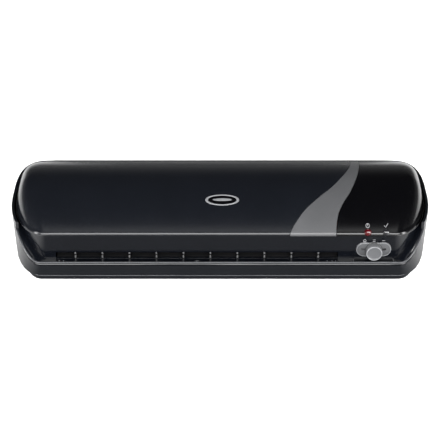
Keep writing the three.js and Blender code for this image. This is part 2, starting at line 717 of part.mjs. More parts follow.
const heaterEnds = [sleeveLeft + 1, sleeveRight - 1];
addPart('upper_heater_shell', heaterShell(rollerRadius + 2, 1.6, upperZ, 1, ...heaterEnds), aluminium);
addPart('lower_heater_shell', heaterShell(rollerRadius + 1, 1.2, lowerZ, -1, ...heaterEnds), aluminium);
const heaterTop = upperZ + rollerRadius + 2 + 1.6;
addPart('thermostat', barZ(6, heaterTop + gap, heaterTop + 5, -30, 0, 24), nylon);
addPart('thermal_fuse', barX(2, 10, 26, 0, heaterTop + gap + 2, 14), nylon);

const guideEnds = [slotLeft + 0.5, slotRight - 0.5];
const shelfIn = fasciaY + wall + gap;
const lowerGuide = guideSheet([[shelfIn, shelfHeight], [-30, 18.5], [-13, 23.2]], 1.2, ...guideEnds);
const lowerRib = [
  [fasciaY + 0.4, 16], [shelfIn, 16], [shelfIn + 0.5, shelfHeight - 0.5], [-30, 18], [-14, 22.4], [-14, 23.6],
  [-30, 20], [fasciaY + 0.4, 17.8],
];
addPart('entry_guide_lower', ribs(lowerGuide, lowerRib), satinBlack);
const upperGuide = guideSheet([[shelfIn, 23], [-30, 27.4], [-13, 29.6]], 1.2, ...guideEnds);
const upperRib = [
  [fasciaY + 0.4, 21.2], [shelfIn, 21.2], [shelfIn + 0.5, 22.2], [-30, 26.6], [-14, 28.8], [-14, 27.6], [-30, 23.6],
  [fasciaY + 0.4, 19.6],
];
addPart('entry_guide_upper', ribs(upperGuide, upperRib), satinBlack);
const exitIn = depth / 2 - wall - 1.2;
addPart('exit_guide_lower', guideSheet([[12.5, 23.4], [exitIn, 22.6]], 1.2, ...guideEnds), satinBlack);
addPart('exit_guide_upper', guideSheet([[13.5, 29.8], [exitIn, 30.6]], 1.2, ...guideEnds), satinBlack);

export default laminator;
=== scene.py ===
# Pouch laminator: looks of the housing, covers, lamps, switch and mechanism.
import math
import bpy
import bmesh
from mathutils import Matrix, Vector
from mathutils.bvhtree import BVHTree


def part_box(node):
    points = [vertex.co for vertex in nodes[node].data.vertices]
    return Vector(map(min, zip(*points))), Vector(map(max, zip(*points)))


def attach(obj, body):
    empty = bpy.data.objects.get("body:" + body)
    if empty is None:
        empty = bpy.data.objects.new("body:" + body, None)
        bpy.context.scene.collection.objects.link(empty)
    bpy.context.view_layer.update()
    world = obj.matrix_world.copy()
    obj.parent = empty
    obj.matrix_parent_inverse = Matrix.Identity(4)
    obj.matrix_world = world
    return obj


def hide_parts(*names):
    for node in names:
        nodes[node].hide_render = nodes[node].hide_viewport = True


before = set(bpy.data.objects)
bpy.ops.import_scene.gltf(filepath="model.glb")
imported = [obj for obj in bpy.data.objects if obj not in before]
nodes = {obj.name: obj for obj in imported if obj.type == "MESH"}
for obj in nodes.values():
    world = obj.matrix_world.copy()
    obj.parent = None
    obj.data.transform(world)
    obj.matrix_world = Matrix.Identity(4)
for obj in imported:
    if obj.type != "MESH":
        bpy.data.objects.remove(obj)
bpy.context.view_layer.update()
mm = 0.001
mergeDistance = 0.00002  # in metres: closer points of a made piece become one
crispAngle, softAngle = 30, 60  # degrees above which an edge stays sharp, on flat and on rounded pieces
steepPath = 0.9  # a tube whose path runs more than this towards the front is set out from the side


# Small helpers that build a mesh piece
def makePiece(name, verts, faces, material, body, smoothAngle):
    mesh = bpy.data.meshes.new(name)
    mesh.from_pydata([Vector(v) * mm for v in verts], [], faces)
    mesh.validate()
    work = bmesh.new()
    work.from_mesh(mesh)
    bmesh.ops.remove_doubles(work, verts=work.verts, dist=mergeDistance)
    bmesh.ops.recalc_face_normals(work, faces=work.faces)
    work.to_mesh(mesh)
    work.free()
    piece = bpy.data.objects.new(name, mesh)
    bpy.context.scene.collection.objects.link(piece)
    mesh.materials.append(material)
    smoothFaces(mesh, smoothAngle)
    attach(piece, body)
    return piece


def smoothFaces(mesh, angle):
    mesh.polygons.foreach_set("use_smooth", [True] * len(mesh.polygons))
    mesh.set_sharp_from_angle(angle=math.radians(angle))


def roundEdges(piece, width, segments=2, angle=40):
    bevel = piece.modifiers.new("softEdges", "BEVEL")
    bevel.width = width * mm
    bevel.segments = segments
    bevel.limit_method = "ANGLE"
    bevel.angle_limit = math.radians(angle)
    bevel.harden_normals = True
    bevel.use_clamp_overlap = True


def evenShading(piece):
    piece.modifiers["softEdges"].harden_normals = False
    weights = piece.modifiers.new("evenShading", "WEIGHTED_NORMAL")
    weights.mode = "FACE_AREA_WITH_ANGLE"
    weights.keep_sharp = True


def gridFaces(rows, columns):
    faces = []
    for i in range(rows - 1):
        for j in range(columns - 1):
            a = i * columns + j
            faces.append((a, a + 1, a + columns + 1, a + columns))
    return faces


def wrapFaces(rows, columns, closed):  # rings of points; closed joins the last ring to the first
    faces = []
    for i in range(rows if closed else rows - 1):
        low, high = i * columns, (i + 1) % rows * columns
        for j in range(columns):
            k = (j + 1) % columns
            faces.append((low + j, low + k, high + k, high + j))
    return faces


def addBlock(verts, faces, x0, x1, y0, y1, z0, z1):
    k = len(verts)
    verts += [(x, y, z) for z in (z0, z1) for y in (y0, y1) for x in (x0, x1)]
    faces += [tuple(k + n for n in quad) for quad in
              ((0, 2, 3, 1), (4, 5, 7, 6), (0, 1, 5, 4), (2, 6, 7, 3), (0, 4, 6, 2), (1, 3, 7, 5))]


def tubeMesh(path, wire, sides, closed):
    verts, faces, count = [], [], len(path)
    for i in range(count):
        before = Vector(path[i - 1] if closed or i else path[0])
        after = Vector(path[(i + 1) % count] if closed or i < count - 1 else path[-1])
        along = (after - before).normalized()
        outward = Vector((0, -1, 0)) if abs(along.y) < steepPath else Vector((1, 0, 0))
        across = along.cross(outward).normalized()
        outward = across.cross(along).normalized()
        for j in range(sides):
            turn = 2 * math.pi * j / sides
            reach = (across * math.cos(turn) + outward * math.sin(turn)) * wire
            verts.append(tuple(Vector(path[i]) + reach))
    if not closed:
        faces = [tuple(reversed(range(sides))), tuple(range((count - 1) * sides, count * sides))]
    return verts, faces + wrapFaces(count, sides, closed)


def ring(cx, cy, r, count=24):
    turns = [2 * math.pi * i / count for i in range(count)]
    return [(cx + r * math.cos(turn), cy + r * math.sin(turn)) for turn in turns]


def mix(a, b, t):
    return a + (b - a) * t


# How plastics, metals and lenses vary over their surface: noise scale and detail, tones, bumps in metres
noiseSpan = (0.3, 0.7)  # nearly all of the noise lies between these
plasticGrain = {
    "cloud": (28, 4), "fineDetail": 2, "tones": (0.93, 1.07), "bump": 0.00006, "coatRoughness": 0.05,
}
metalGrain = {
    "brush": (14, 6, (6, 160, 160)), "darkTone": 0.86, "smoother": 0.07, "rougher": 0.09, "strength": 0.12,
    "bump": 0.00004,
}
lensGrain = {
    "cloud": (320, 3), "darkTone": 0.8, "roughness": 0.06, "ior": 1.5, "coat": 0.6, "coatRoughness": 0.03,
}


def newMaterial(name):
    material = bpy.data.materials.new(name)
    material.use_nodes = True
    nodeTree = material.node_tree
    shader = nodeTree.nodes["Principled BSDF"]
    return material, nodeTree, shader


def addNoise(tree, scale, detail, stretch=(1, 1, 1)):
    place = tree.nodes.new("ShaderNodeTexCoord")
    mapping = tree.nodes.new("ShaderNodeMapping")
    mapping.inputs["Scale"].default_value = stretch
    noise = tree.nodes.new("ShaderNodeTexNoise")
    noise.inputs["Scale"].default_value = scale
    noise.inputs["Detail"].default_value = detail
    tree.links.new(place.outputs["Object"], mapping.inputs["Vector"])
    tree.links.new(mapping.outputs["Vector"], noise.inputs["Vector"])
    return noise.outputs["Fac"]


def addRoughness(tree, shader, source, low, high):
    spread = tree.nodes.new("ShaderNodeMapRange")
    spread.inputs["From Min"].default_value = noiseSpan[0]
    spread.inputs["From Max"].default_value = noiseSpan[1]
    spread.inputs["To Min"].default_value = low
    spread.inputs["To Max"].default_value = high
    tree.links.new(source, spread.inputs["Value"])
    tree.links.new(spread.outputs["Result"], shader.inputs["Roughness"])


def addBump(tree, shader, source, strength, distance):
    bump = tree.nodes.new("ShaderNodeBump")
    bump.inputs["Strength"].default_value = strength
    bump.inputs["Distance"].default_value = distance
    tree.links.new(source, bump.inputs["Height"])
    tree.links.new(bump.outputs["Normal"], shader.inputs["Normal"])


def addTone(tree, shader, source, dark, light):
    ramp = tree.nodes.new("ShaderNodeValToRGB")
    for element, position, color in zip(ramp.color_ramp.elements, noiseSpan, (dark, light)):
        element.position = position
        element.color = (*color, 1)
    tree.links.new(source, ramp.inputs["Fac"])
    tree.links.new(ramp.outputs["Color"], shader.inputs["Base Color"])


def toned(color, share):
    return tuple(c * share for c in color)


def mouldedPlastic(name, color, roughness, grain=0.1, grainScale=2200, coat=0.0, spread=0.04):
    material, tree, shader = newMaterial(name)
    g = plasticGrain
    fine = addNoise(tree, grainScale, g["fineDetail"])
    broad = addNoise(tree, *g["cloud"])
    addTone(tree, shader, broad, toned(color, g["tones"][0]), toned(color, g["tones"][1]))
    addRoughness(tree, shader, broad, roughness - spread, roughness + spread)
    addBump(tree, shader, fine, grain, g["bump"])
    shader.inputs["Coat Weight"].default_value = coat
    shader.inputs["Coat Roughness"].default_value = g["coatRoughness"]
    return material


def metal(name, color, roughness):
    material, tree, shader = newMaterial(name)
    g = metalGrain
    brushed = addNoise(tree, *g["brush"])
    addTone(tree, shader, brushed, toned(color, g["darkTone"]), color)
    addRoughness(tree, shader, brushed, roughness - g["smoother"], roughness + g["rougher"])
    addBump(tree, shader, brushed, g["strength"], g["bump"])
    shader.inputs["Metallic"].default_value = 1.0
    return material


def lensPlastic(name, color, transmission):
    material, tree, shader = newMaterial(name)
    g = lensGrain
    addTone(tree, shader, addNoise(tree, *g["cloud"]), toned(color, g["darkTone"]), color)
    shader.inputs["Roughness"].default_value = g["roughness"]
    shader.inputs["IOR"].default_value = g["ior"]
    shader.inputs["Transmission Weight"].default_value = transmission
    shader.inputs["Coat Weight"].default_value = g["coat"]
    shader.inputs["Coat Roughness"].default_value = g["coatRoughness"]
    return material


# Colour and roughness, then for some plastics the strength and scale of the fine grain
finishes = {
    "satinBlack": mouldedPlastic("satinBlackPlastic", (0.0045, 0.0053, 0.0073), 0.24, spread=0.015),
    "glossBlack": mouldedPlastic("glossBlackPlastic", (0.0012, 0.0012, 0.0016), 0.19, 0.015, 900,
                                 spread=0.012),
    "bezelBlack": mouldedPlastic("bezelBlackPlastic", (0.0027, 0.0033, 0.005), 0.17, 0.05, spread=0.015),
    "trayBlack": mouldedPlastic("trayBlackPlastic", (0.0036, 0.0044, 0.0062), 0.25, 0.12, spread=0.02),
    "bandGrey": mouldedPlastic("bandGreyPlastic", (0.066, 0.067, 0.07), 0.32, 0.12),
    "switchGrey": mouldedPlastic("switchGreyPlastic", (0.085, 0.087, 0.091), 0.4, 0.15),
    "knobGrey": mouldedPlastic("knobGreyPlastic", (0.098, 0.1, 0.105), 0.36, 0.15),
    # pale grey on the rib noses in the slot: painted highlights on the rib edges
    "runnerHighlightGrey": mouldedPlastic("runnerHighlightPlastic", (0.11, 0.11, 0.113), 0.4),
    "printGrey": mouldedPlastic("printedGreyInk", (0.2, 0.2, 0.207), 0.45),
    "skirtGrey": mouldedPlastic("skirtGreyPlastic", (0.03, 0.031, 0.033), 0.4),
    # lighter than the black plastic round it: painted highlight lines along the lid's ends and the shelf
    # pocket's edge
    "edgeHighlightGrey": mouldedPlastic("edgeHighlightPlastic", (0.04, 0.041, 0.043), 0.4),
    # grey far lighter than the tray and bezel black: a painted highlight along the tray's lip and the
    # plinth's ledge
    "lipHighlightGrey": mouldedPlastic("paintedHighlightLipPlastic", (0.03, 0.0315, 0.035), 0.2, 0.04, coat=0.4,
                              spread=0.015),
    # pale grey for the knob ring and the switch plate rim: painted edge highlights
    "rimHighlightGrey": mouldedPlastic("rimHighlightPlastic", (0.25, 0.255, 0.265), 0.3),
    "badgeSilver": mouldedPlastic("silverBadgePaint", (0.17, 0.173, 0.18), 0.26, 0.1, 1800, coat=0.3),
    "darkPlastic": mouldedPlastic("innerBlackPlastic", (0.006, 0.006, 0.0065), 0.45, 0.3),
    "nylon": mouldedPlastic("naturalNylon", (0.72, 0.69, 0.6), 0.5, 0.2, 1400),
    "rubber": mouldedPlastic("footRubber", (0.014, 0.014, 0.014), 0.85, 0.5, 900),
    "silicone": mouldedPlastic("rollerSilicone", (0.33, 0.05, 0.02), 0.62, 0.25, 1100),
    "board": mouldedPlastic("circuitBoardGreen", (0.012, 0.11, 0.03), 0.35, 0.3, 700),
    "steel": metal("zincPlatedSteel", (0.62, 0.63, 0.64), 0.34),
    "aluminium": metal("extrudedAluminium", (0.74, 0.75, 0.77), 0.38),
    "brass": metal("turnedBrass", (0.72, 0.5, 0.2), 0.26),
    "redLens": lensPlastic("redLampLens", (0.075, 0.0015, 0.0035), 0.05),
    "smokeLens": lensPlastic("smokedLampLens", (0.02, 0.02, 0.023), 0.3),
}
print("finishes mixed:", len(finishes))

# First words of a node's name, its finish and the width of its softened edges in mm
nodeFinish = [
    ("base_tray", "trayBlack", 0.7), ("rear_surround", "trayBlack", 0.35),
    ("entry_bezel", "bezelBlack", 0.2),
    ("foot", "rubber", 0.8), ("case_screw", "steel", 0.25), ("frame_screw", "steel", 0.25),
    ("power_lens", "redLens", 0), ("ready_lens", "smokeLens", 0), ("switch_escutcheon", "switchGrey", 0.25),
    ("slide_knob", "knobGrey", 0.3), ("slide_switch", "switchGrey", 0.2), ("control_board", "board", 0),
    ("mains_inlet", "darkPlastic", 0.4), ("inlet_pin", "brass", 0.3), ("frame_", "steel", 0.15),
    ("tie_bar", "steel", 0.3), ("idler_pin", "steel", 0.3), ("motor_standoff", "steel", 0.3),
    ("gear_motor", "steel", 0.5), ("pressure_spring", "steel", 0), ("lower_bush", "nylon", 0.3),
    ("upper_bearing", "nylon", 0.4), ("lower_roller_gear", "nylon", 0), ("upper_roller_gear", "nylon", 0),
    ("idler_gear", "nylon", 0), ("motor_pinion", "nylon", 0), ("lower_roller_sleeve", "silicone", 0.5),
    ("upper_roller_sleeve", "silicone", 0.5), ("lower_roller_shaft", "steel", 0.3),
    ("upper_roller_shaft", "steel", 0.3), ("lower_heater", "aluminium", 0.2),
    ("upper_heater", "aluminium", 0.2), ("thermostat", "nylon", 0.4), ("thermal_fuse", "nylon", 0.4),
    ("entry_guide", "darkPlastic", 0), ("exit_guide", "darkPlastic", 0), ("top_cover", "satinBlack", 0),
    ("accent_band", "bandGrey", 0), ("control_end_cover", "glossBlack", 0),
]
nodeShading = {
    "smoothAngle": 32, "joinDistance": 0.000002,  # the distance is in metres
    "evenShells": ("base_tray", "rear_surround", "entry_bezel"),
}


def dressNodes():
    for name, node in nodes.items():
        start, finish, edge = next(entry for entry in nodeFinish if name.startswith(entry[0]))
        node.data.materials.clear()
        node.data.materials.append(finishes[finish])
        smoothFaces(node.data, nodeShading["smoothAngle"])
        if edge:
            join = node.modifiers.new("joinCorners", "WELD")
            join.merge_threshold = nodeShading["joinDistance"]
            roundEdges(node, edge)
        if start in nodeShading["evenShells"]:
            evenShading(node)
    print("nodes dressed:", len(nodes))


# The arched lid in its three colours, split along the two curved joints
coverShape = {
    "edgeHeight": 38, "crestHeight": 62, "middle": 3.25, "reach": 59.25, "endReach": 171.8, "end": 28.8,
    "filletInset": 1.6, "filletHeight": 3.5, "filletTurn": 51, "endInset": 14, "rearSquareness": 3.3,
    "filletRows": 0.25,  # part of the rows spent on the rounded lower edge
    "crestEnd": 0.3,  # what is left of the rounded ends at the crest
    "thickness": 2.0, "jointGap": 0.15, "edgeRound": 0.45, "edgeSegments": 3,
    "levels": 48, "endSteps": 36, "leftColumns": 60, "rightColumns": 20, "bandColumns": 10,
}
# Plan curves of the band's two edges, from the entry side to the rear
bandEdges = {
    "left": [(56.6, -62), (57, -56), (62.7, -46.8), (70.3, -37), (80.6, -26.5), (93.6, -12.8), (105.8, 8.7),
             (111, 28), (112.2, 45), (112.4, 68)],
    "right": [(94.9, -62), (94.9, -56), (95.6, -49), (97, -41.5), (101, -32.2), (108.2, -18.9), (114.4, 0),
              (117.8, 20), (119.3, 43), (119.6, 68)],
}


def edgeX(side, y):  # a smooth curve through the points of one edge
    points = bandEdges[side]
    k = max(i for i in range(len(points) - 1) if points[i][1] <= y)
    (x0, y0), (x1, y1) = points[k], points[k + 1]

    def slope(i):
        low, high = points[max(i - 1, 0)], points[min(i + 1, len(points) - 1)]
        return (high[0] - low[0]) / (high[1] - low[1])

    rise = y1 - y0
    t = (y - y0) / rise
    start = (2 * t ** 3 - 3 * t ** 2 + 1) * x0 + (t ** 3 - 2 * t ** 2 + t) * rise * slope(k)
    return start + (3 * t ** 2 - 2 * t ** 3) * x1 + (t ** 3 - t ** 2) * rise * slope(k + 1)


def archRise():
    return coverShape["crestHeight"] - coverShape["edgeHeight"] - coverShape["filletHeight"]


def archRadius():
    half = coverShape["reach"] - coverShape["filletInset"]
    return (half ** 2 + archRise() ** 2) / (2 * archRise())


def archRow(t):  # one level of the lid, from its lower edge at 0 to the crest at 1
    s = coverShape
    split, radius = s["filletRows"], archRadius()
    if t <= split:
        full = math.radians(s["filletTurn"])
        turn = full * t / split
        inset = endCut = s["filletInset"] * (1 - math.cos(turn)) / (1 - math.cos(full))
        z = s["edgeHeight"] + s["filletHeight"] * math.sin(turn) / math.sin(full)
    else:
        steepest = math.asin((s["reach"] - s["filletInset"]) / radius)
        angle = mix(steepest, 0, (t - split) / (1 - split))
        inset = s["reach"] - radius * math.sin(angle)
        z = s["crestHeight"] - radius * (1 - math.cos(angle))
        rise = min(1, (z - s["edgeHeight"] - s["filletHeight"]) / archRise())
        endCut = mix(s["filletInset"], s["endInset"], 1 - math.sqrt(max(0, 1 - rise * rise)))
    half = max(0, s["reach"] - inset)
    end = s["end"] * mix(s["crestEnd"], 1, half / s["reach"])
    return {"straight": s["endReach"] - endCut - end, "end": end, "half": half, "z": z, "top": t >= 1}


def coverHeight(y):
    away = abs(y - coverShape["middle"])
    return coverShape["crestHeight"] - archRadius() + math.sqrt(archRadius() ** 2 - away ** 2)


def roundedEnd(row, turn):  # the rear corners are squarer than the front ones
    power = 1 if turn <= 0 or row["top"] else 2 / coverShape["rearSquareness"]
    out, along = abs(math.cos(turn)) ** power, abs(math.sin(turn)) ** power
    return row["straight"] + row["end"] * out, math.copysign(along, turn) * row["half"]


def endCover(name, side, edge, finish, across):  # side is -1 for the left piece and 1 for the right one
    verts = []
    levels, endSteps, middle = coverShape["levels"], coverShape["endSteps"], coverShape["middle"]
    for i in range(levels + 1):
        row = archRow(i / levels)
        for half in (-1, 1):
            y = middle + half * row["half"]
            start = edgeX(edge, y) + side * coverShape["jointGap"]
            line = [(mix(start, side * row["straight"], j / across), y, row["z"]) for j in range(across)]
            if half < 0:
                verts += line
                for j in range(endSteps + 1):
                    x, along = roundedEnd(row, math.pi * (j / endSteps - 0.5))
                    verts.append((side * x, middle + along, row["z"]))
            else:
                verts += list(reversed(line))
    return finishCover(name, verts, gridFaces(levels + 1, 2 * across + endSteps + 1), finish)


def bandCover(name, finish, across):
    verts = []
    levels, gap = coverShape["levels"], coverShape["jointGap"]
    for i in range(-levels, levels + 1):
        row = archRow(1 - abs(i) / levels)
        y = coverShape["middle"] + (1 if i > 0 else -1) * row["half"]
        left, right = edgeX("left", y) + gap, edgeX("right", y) - gap
        verts += [(mix(left, right, j / across), y, row["z"]) for j in range(across + 1)]
    return finishCover(name, verts, gridFaces(2 * levels + 1, across + 1), finish)


def finishCover(name, verts, faces, finish):
    piece = makePiece(name, verts, faces, finishes[finish], "housing", softAngle)
    faceUp(piece)
    shell = piece.modifiers.new("wallThickness", "SOLIDIFY")
    shell.thickness = coverShape["thickness"] * mm
    shell.offset = -1
    shell.use_even_offset = False
    roundEdges(piece, coverShape["edgeRound"], coverShape["edgeSegments"], softAngle)
    return piece


def faceUp(piece):
    highest = max(piece.data.polygons, key=lambda face: face.center.z)
    if highest.normal.z < 0:
        piece.data.flip_normals()


def makeCovers():
    left = endCover("satinTopCover", -1, "left", "satinBlack", coverShape["leftColumns"])
    right = endCover("glossControlCover", 1, "right", "glossBlack", coverShape["rightColumns"])
    band = bandCover("greyAccentBand", "bandGrey", coverShape["bandColumns"])
    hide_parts("top_cover")
    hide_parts("control_end_cover")
    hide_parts("accent_band")
    print("covers built")


# Silver oval badge near the top of the lid, with a raised border
badge = {"center": (1.8, -28.6), "width": 28, "depth": 10.5, "rise": 0.7, "columns": 72}
# Finish and size of each piece, then its rows: part of the outline and part of the rise
badgePieces = {
    "badgeRim": ("badgeSilver", (1, 1), [
        (1.0, -0.3), (1.0, 0.5), (0.975, 0.85), (0.93, 0.95), (0.88, 0.8), (0.84, 0.4), (0.84, -0.3)]),
    "badgeField": ("glossBlack", (1, 1), [
        (0.83, -0.3), (0.83, 0.35), (0.6, 0.42), (0.3, 0.5), (0.02, 0.52)]),
    "badgeBar": ("badgeSilver", (0.56, 0.24), [
        (1.0, -0.3), (1.0, 0.75), (0.9, 0.95), (0.5, 1.05), (0.02, 1.1)]),
}


def makeBadge():
    for name, (finish, size, rows) in badgePieces.items():
        piece = ovalRows(name, rows, size, finish)


def ovalRows(name, rows, size, finish):
    verts, columns = [], badge["columns"]
    for share, lift in rows:
        for j in range(columns):
            turn = 2 * math.pi * j / columns
            x = badge["center"][0] + badge["width"] / 2 * share * size[0] * math.cos(turn)
            y = badge["center"][1] + badge["depth"] / 2 * share * size[1] * math.sin(turn)
            verts.append((x, y, coverHeight(y) + lift * badge["rise"]))
    closedRing = rows[-1][1] < 0  # a ring closes on itself, a plate gets a top and an underside
    faces = wrapFaces(len(rows), columns, closedRing)
    if not closedRing:
        faces.append(tuple((len(rows) - 1) * columns + j for j in range(columns)))
        faces.append(tuple(reversed(range(columns))))
    return makePiece(name, verts, faces, finishes[finish], "housing", crispAngle)


# Printed marks: flat strokes that follow the surface under them
marks = {"stroke": 0.5, "thickness": 0.12, "lift": 0.03}


def strokePath(points, width, closed):
    sides = []
    count = len(points)
    for i, (x, y) in enumerate(points):
        before = points[(i - 1) % count] if closed or i else (x, y)
        after = points[(i + 1) % count] if closed or i < count - 1 else (x, y)
        dx, dy = after[0] - before[0], after[1] - before[1]
        size = math.hypot(dx, dy)
        nx, ny = -dy / size * width / 2, dx / size * width / 2
        sides.append(((x + nx, y + ny), (x - nx, y - ny)))
    return sides


def printMark(name, strokes, place, material="printGrey"):
    verts, faces = [], []
    for points, closed in strokes:
        sides = strokePath(points, marks["stroke"], closed)
        first, count = len(verts), len(sides)
        for pair in sides:
            for u, v in pair:
                verts.append(place(u, v, marks["lift"]))
                verts.append(place(u, v, marks["lift"] + marks["thickness"]))
        for i in range(count if closed else count - 1):
            a, b = first + 4 * i, first + 4 * ((i + 1) % count)
            faces += [(a + 1, a + 3, b + 3, b + 1), (a, b, b + 2, a + 2)]
            faces += [(a, a + 1, b + 1, b), (a + 2, b + 2, b + 3, a + 3)]
        if not closed:
            last = first + 4 * (count - 1)
            faces += [(first, first + 2, first + 3, first + 1), (last, last + 1, last + 3, last + 2)]
    piece = makePiece(name, verts, faces, finishes[material], "housing", crispAngle)


def onCover(x, y, lift):
    tilt = math.asin((coverShape["middle"] - y) / archRadius())
    return x, y - lift * math.sin(tilt), coverHeight(y) + lift * math.cos(tilt)


# A short printed line at the rear left of the lid
coverLine = {"y": 34, "spans": ((-143, -126), (-123.5, -121.5))}


def makeCoverMark():
    y = coverLine["y"]
    printMark("coverLine", [([(x0, y), (x1, y)], False) for x0, x1 in coverLine["spans"]], onCover)


# Signs over the two lamps and over the three places of the switch
controls = {
    "lampX": (120.5, 135.5), "lampSignY": -50.2, "switchX": 126, "switchStep": 7.7, "switchSignZ": 33.6,
}
# Strokes round each sign's own middle, in mm; True closes a stroke
signs = {
    "heatingMark": [(ring(0, 0, 1.45), True), ([(0, -0.145), (0, 1.16)], False)],
    "readyMark": [([(-1.45, 0), (-0.3625, -1.305), (1.595, 1.595)], False)],
    "coldMark": [(ring(0, 0, 1.1), True)],
    "warmMark": [([(-1.1, -0.8), (1.1, -0.8)], False), ([(-1.1, 0.8), (1.1, 0.8)], False)],
    "offMark": [([(-1.1, 0), (1.1, 0)], False)],
}


def printSign(name, x, y, place):
    strokes = [([(x + u, y + v) for u, v in points], closed) for points, closed in signs[name]]
    printMark(name, strokes, place)


def makeControlMarks():
    c = controls
    for name, x in zip(("heatingMark", "readyMark"), c["lampX"]):
        printSign(name, x, c["lampSignY"], onCover)
    face = min(v.co.y for v in nodes["switch_escutcheon"].data.vertices) / mm

    def onPlate(x, z, lift):
        return x, face - lift, z

    for name, step in (("coldMark", -1), ("warmMark", 0), ("offMark", 1)):
        printSign(name, c["switchX"] + step * c["switchStep"], c["switchSignZ"], onPlate)


# Width marks, a centre arrow and a lighter line along the edge of a shallow pocket on the shelf in front of
# the slot; the pocket's edge line is a painted highlight
shelfMarks = {
    "y": -58.6, "height": 2.2, "ticks": (-132, -128.5, 88, 92, 95),
    "arrowX": -19, "arrowHalf": 1.8, "barbs": -0.2, "stem": 0.6,  # barbs and stem: parts of half the height
    "pocketSides": (109.6, 142.4), "pocketFront": -62, "pocketBack": -55, "pocketCorner": 1.5,
    "above": 40,  # the marks are dropped onto the shelf from here
}


def makeShelfMarks():
    m = shelfMarks
    shelf = nodes["entry_bezel"].data
    polygons = [tuple(polygon.vertices) for polygon in shelf.polygons]
    tree = BVHTree.FromPolygons([v.co for v in shelf.vertices], polygons)

    def onShelf(x, y, lift):
        point = tree.ray_cast(Vector((x, y, m["above"])) * mm, Vector((0, 0, -1)))[0]
        return x, y, point.z / mm + lift

    h, y = m["height"] / 2, m["y"]
    ticks = [([(x, y - h), (x, y), (x, y + h)], False) for x in m["ticks"]]
    printMark("widthMarks", ticks, onShelf)
    x, half, barb = m["arrowX"], m["arrowHalf"], y + h * m["barbs"]
    arrow = [([(x - half, barb), (x, y + h), (x + half, barb)], False),
             ([(x, y - h), (x, y + h * m["stem"])], False)]
    printMark("centreArrow", arrow, onShelf)
    left, right = m["pocketSides"]
    front, back, corner = m["pocketFront"], m["pocketBack"], m["pocketCorner"]
    outline = [(left, back), (left, front + corner), (left + corner, front), (right - corner, front),
               (right, front + corner), (right, back)]
    printMark("pocketEdge", [(outline, False)], onShelf, "edgeHighlightGrey")


# Pale strips on the noses of the guide ribs inside the slot: painted highlights on the rib edges
runners = {
    "count": 10, "pitch": 22.2, "width": 1.3, "front": -53.75, "back": -52.6, "lower": (15.9, 18.0),
    "upper": (19.5, 21.3), "round": 0.35, "segments": 3,
}


def makeRunners():
    r = runners
    across = [v.co.x for v in nodes["entry_guide_lower"].data.vertices]
    middle = (min(across) + max(across)) / 2 / mm
    verts, faces = [], []
    for i in range(r["count"]):
        x = middle + (i - (r["count"] - 1) / 2) * r["pitch"]
        for z0, z1 in (r["lower"], r["upper"]):
            addBlock(verts, faces, x - r["width"] / 2, x + r["width"] / 2, r["front"], r["back"], z0, z1)
    piece = makePiece("guideRunners", verts, faces, finishes["runnerHighlightGrey"], "housing", crispAngle)
    roundEdges(piece, r["round"], r["segments"])


# Raised ring on the knob, and the skirt behind it that slides along the switch plate; the ring and the rim
# round the switch plate are pale grey as painted highlights on their edges
knobTrim = {
    "ringRadius": 6.1, "ringWire": 0.35, "ringSink": 0.1, "columns": 48, "wireSides": 10,
    "skirtHeight": 0.95, "skirtForward": 0.35,
    "skirtRows": [(7.3, 0.0), (7.3, -0.45), (7.0, -0.65), (3.0, -0.75), (2.0, -0.75), (2.0, 0.0)],
}
plateRim = {"inset": 0.5, "wire": 0.245, "steps": 16}


def boxMiddle(box, axis):
    return (box[0][axis] + box[1][axis]) / 2 / mm


def makeRings():
    r, knob, plate = knobTrim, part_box("slide_knob"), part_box("switch_escutcheon")
    x, z = boxMiddle(knob, 0), boxMiddle(knob, 2)
    front, face = knob[0][1] / mm, plate[0][1] / mm
    circle = [(u, front + r["ringSink"], v) for u, v in ring(x, z, r["ringRadius"], r["columns"])]
    verts, faces = tubeMesh(circle, r["ringWire"], r["wireSides"], True)
    piece = makePiece("knobRing", verts, faces, finishes["rimHighlightGrey"], "knob", softAngle)
    makeSkirt(x, z, face)
    makePlateRim(plate, face)


def makeSkirt(x, z, face):
    r, verts = knobTrim, []
    for radius, lift in r["skirtRows"]:
        for u, v in ring(0, 0, radius, r["columns"]):
            verts.append((x + u, face + lift - r["skirtForward"], z + v * r["skirtHeight"]))
    faces = wrapFaces(len(r["skirtRows"]), r["columns"], True)
    makePiece("knobSkirt", verts, faces, finishes["skirtGrey"], "knob", crispAngle)


def makePlateRim(plate, face):
    x, z = boxMiddle(plate, 0), boxMiddle(plate, 2)
    width, height = ((plate[1][axis] - plate[0][axis]) / 2 / mm - plateRim["inset"] for axis in (0, 2))
    path, steps = [], plateRim["steps"]
    for side in (1, -1):
        for j in range(steps + 1):
            turn = math.pi * (j / steps - 0.5)
            out = width - height + height * math.cos(turn)
            path.append((x + side * out, face, z + side * height * math.sin(turn)))
    verts, faces = tubeMesh(path, plateRim["wire"], knobTrim["wireSides"], True)
    piece = makePiece("switchPlateRim", verts, faces, finishes["rimHighlightGrey"], "housing", softAngle)


# The tray's wall in plan, at its foot and at its top, for the beads that follow it
trayShape = {
    "foot": 5.4, "top": 42, "front": -65, "frontRim": 17, "rise": 46, "straight": (149, 143.7),
    "end": (23.6, 31.3), "half": (63, 65), "passes": 6,
}
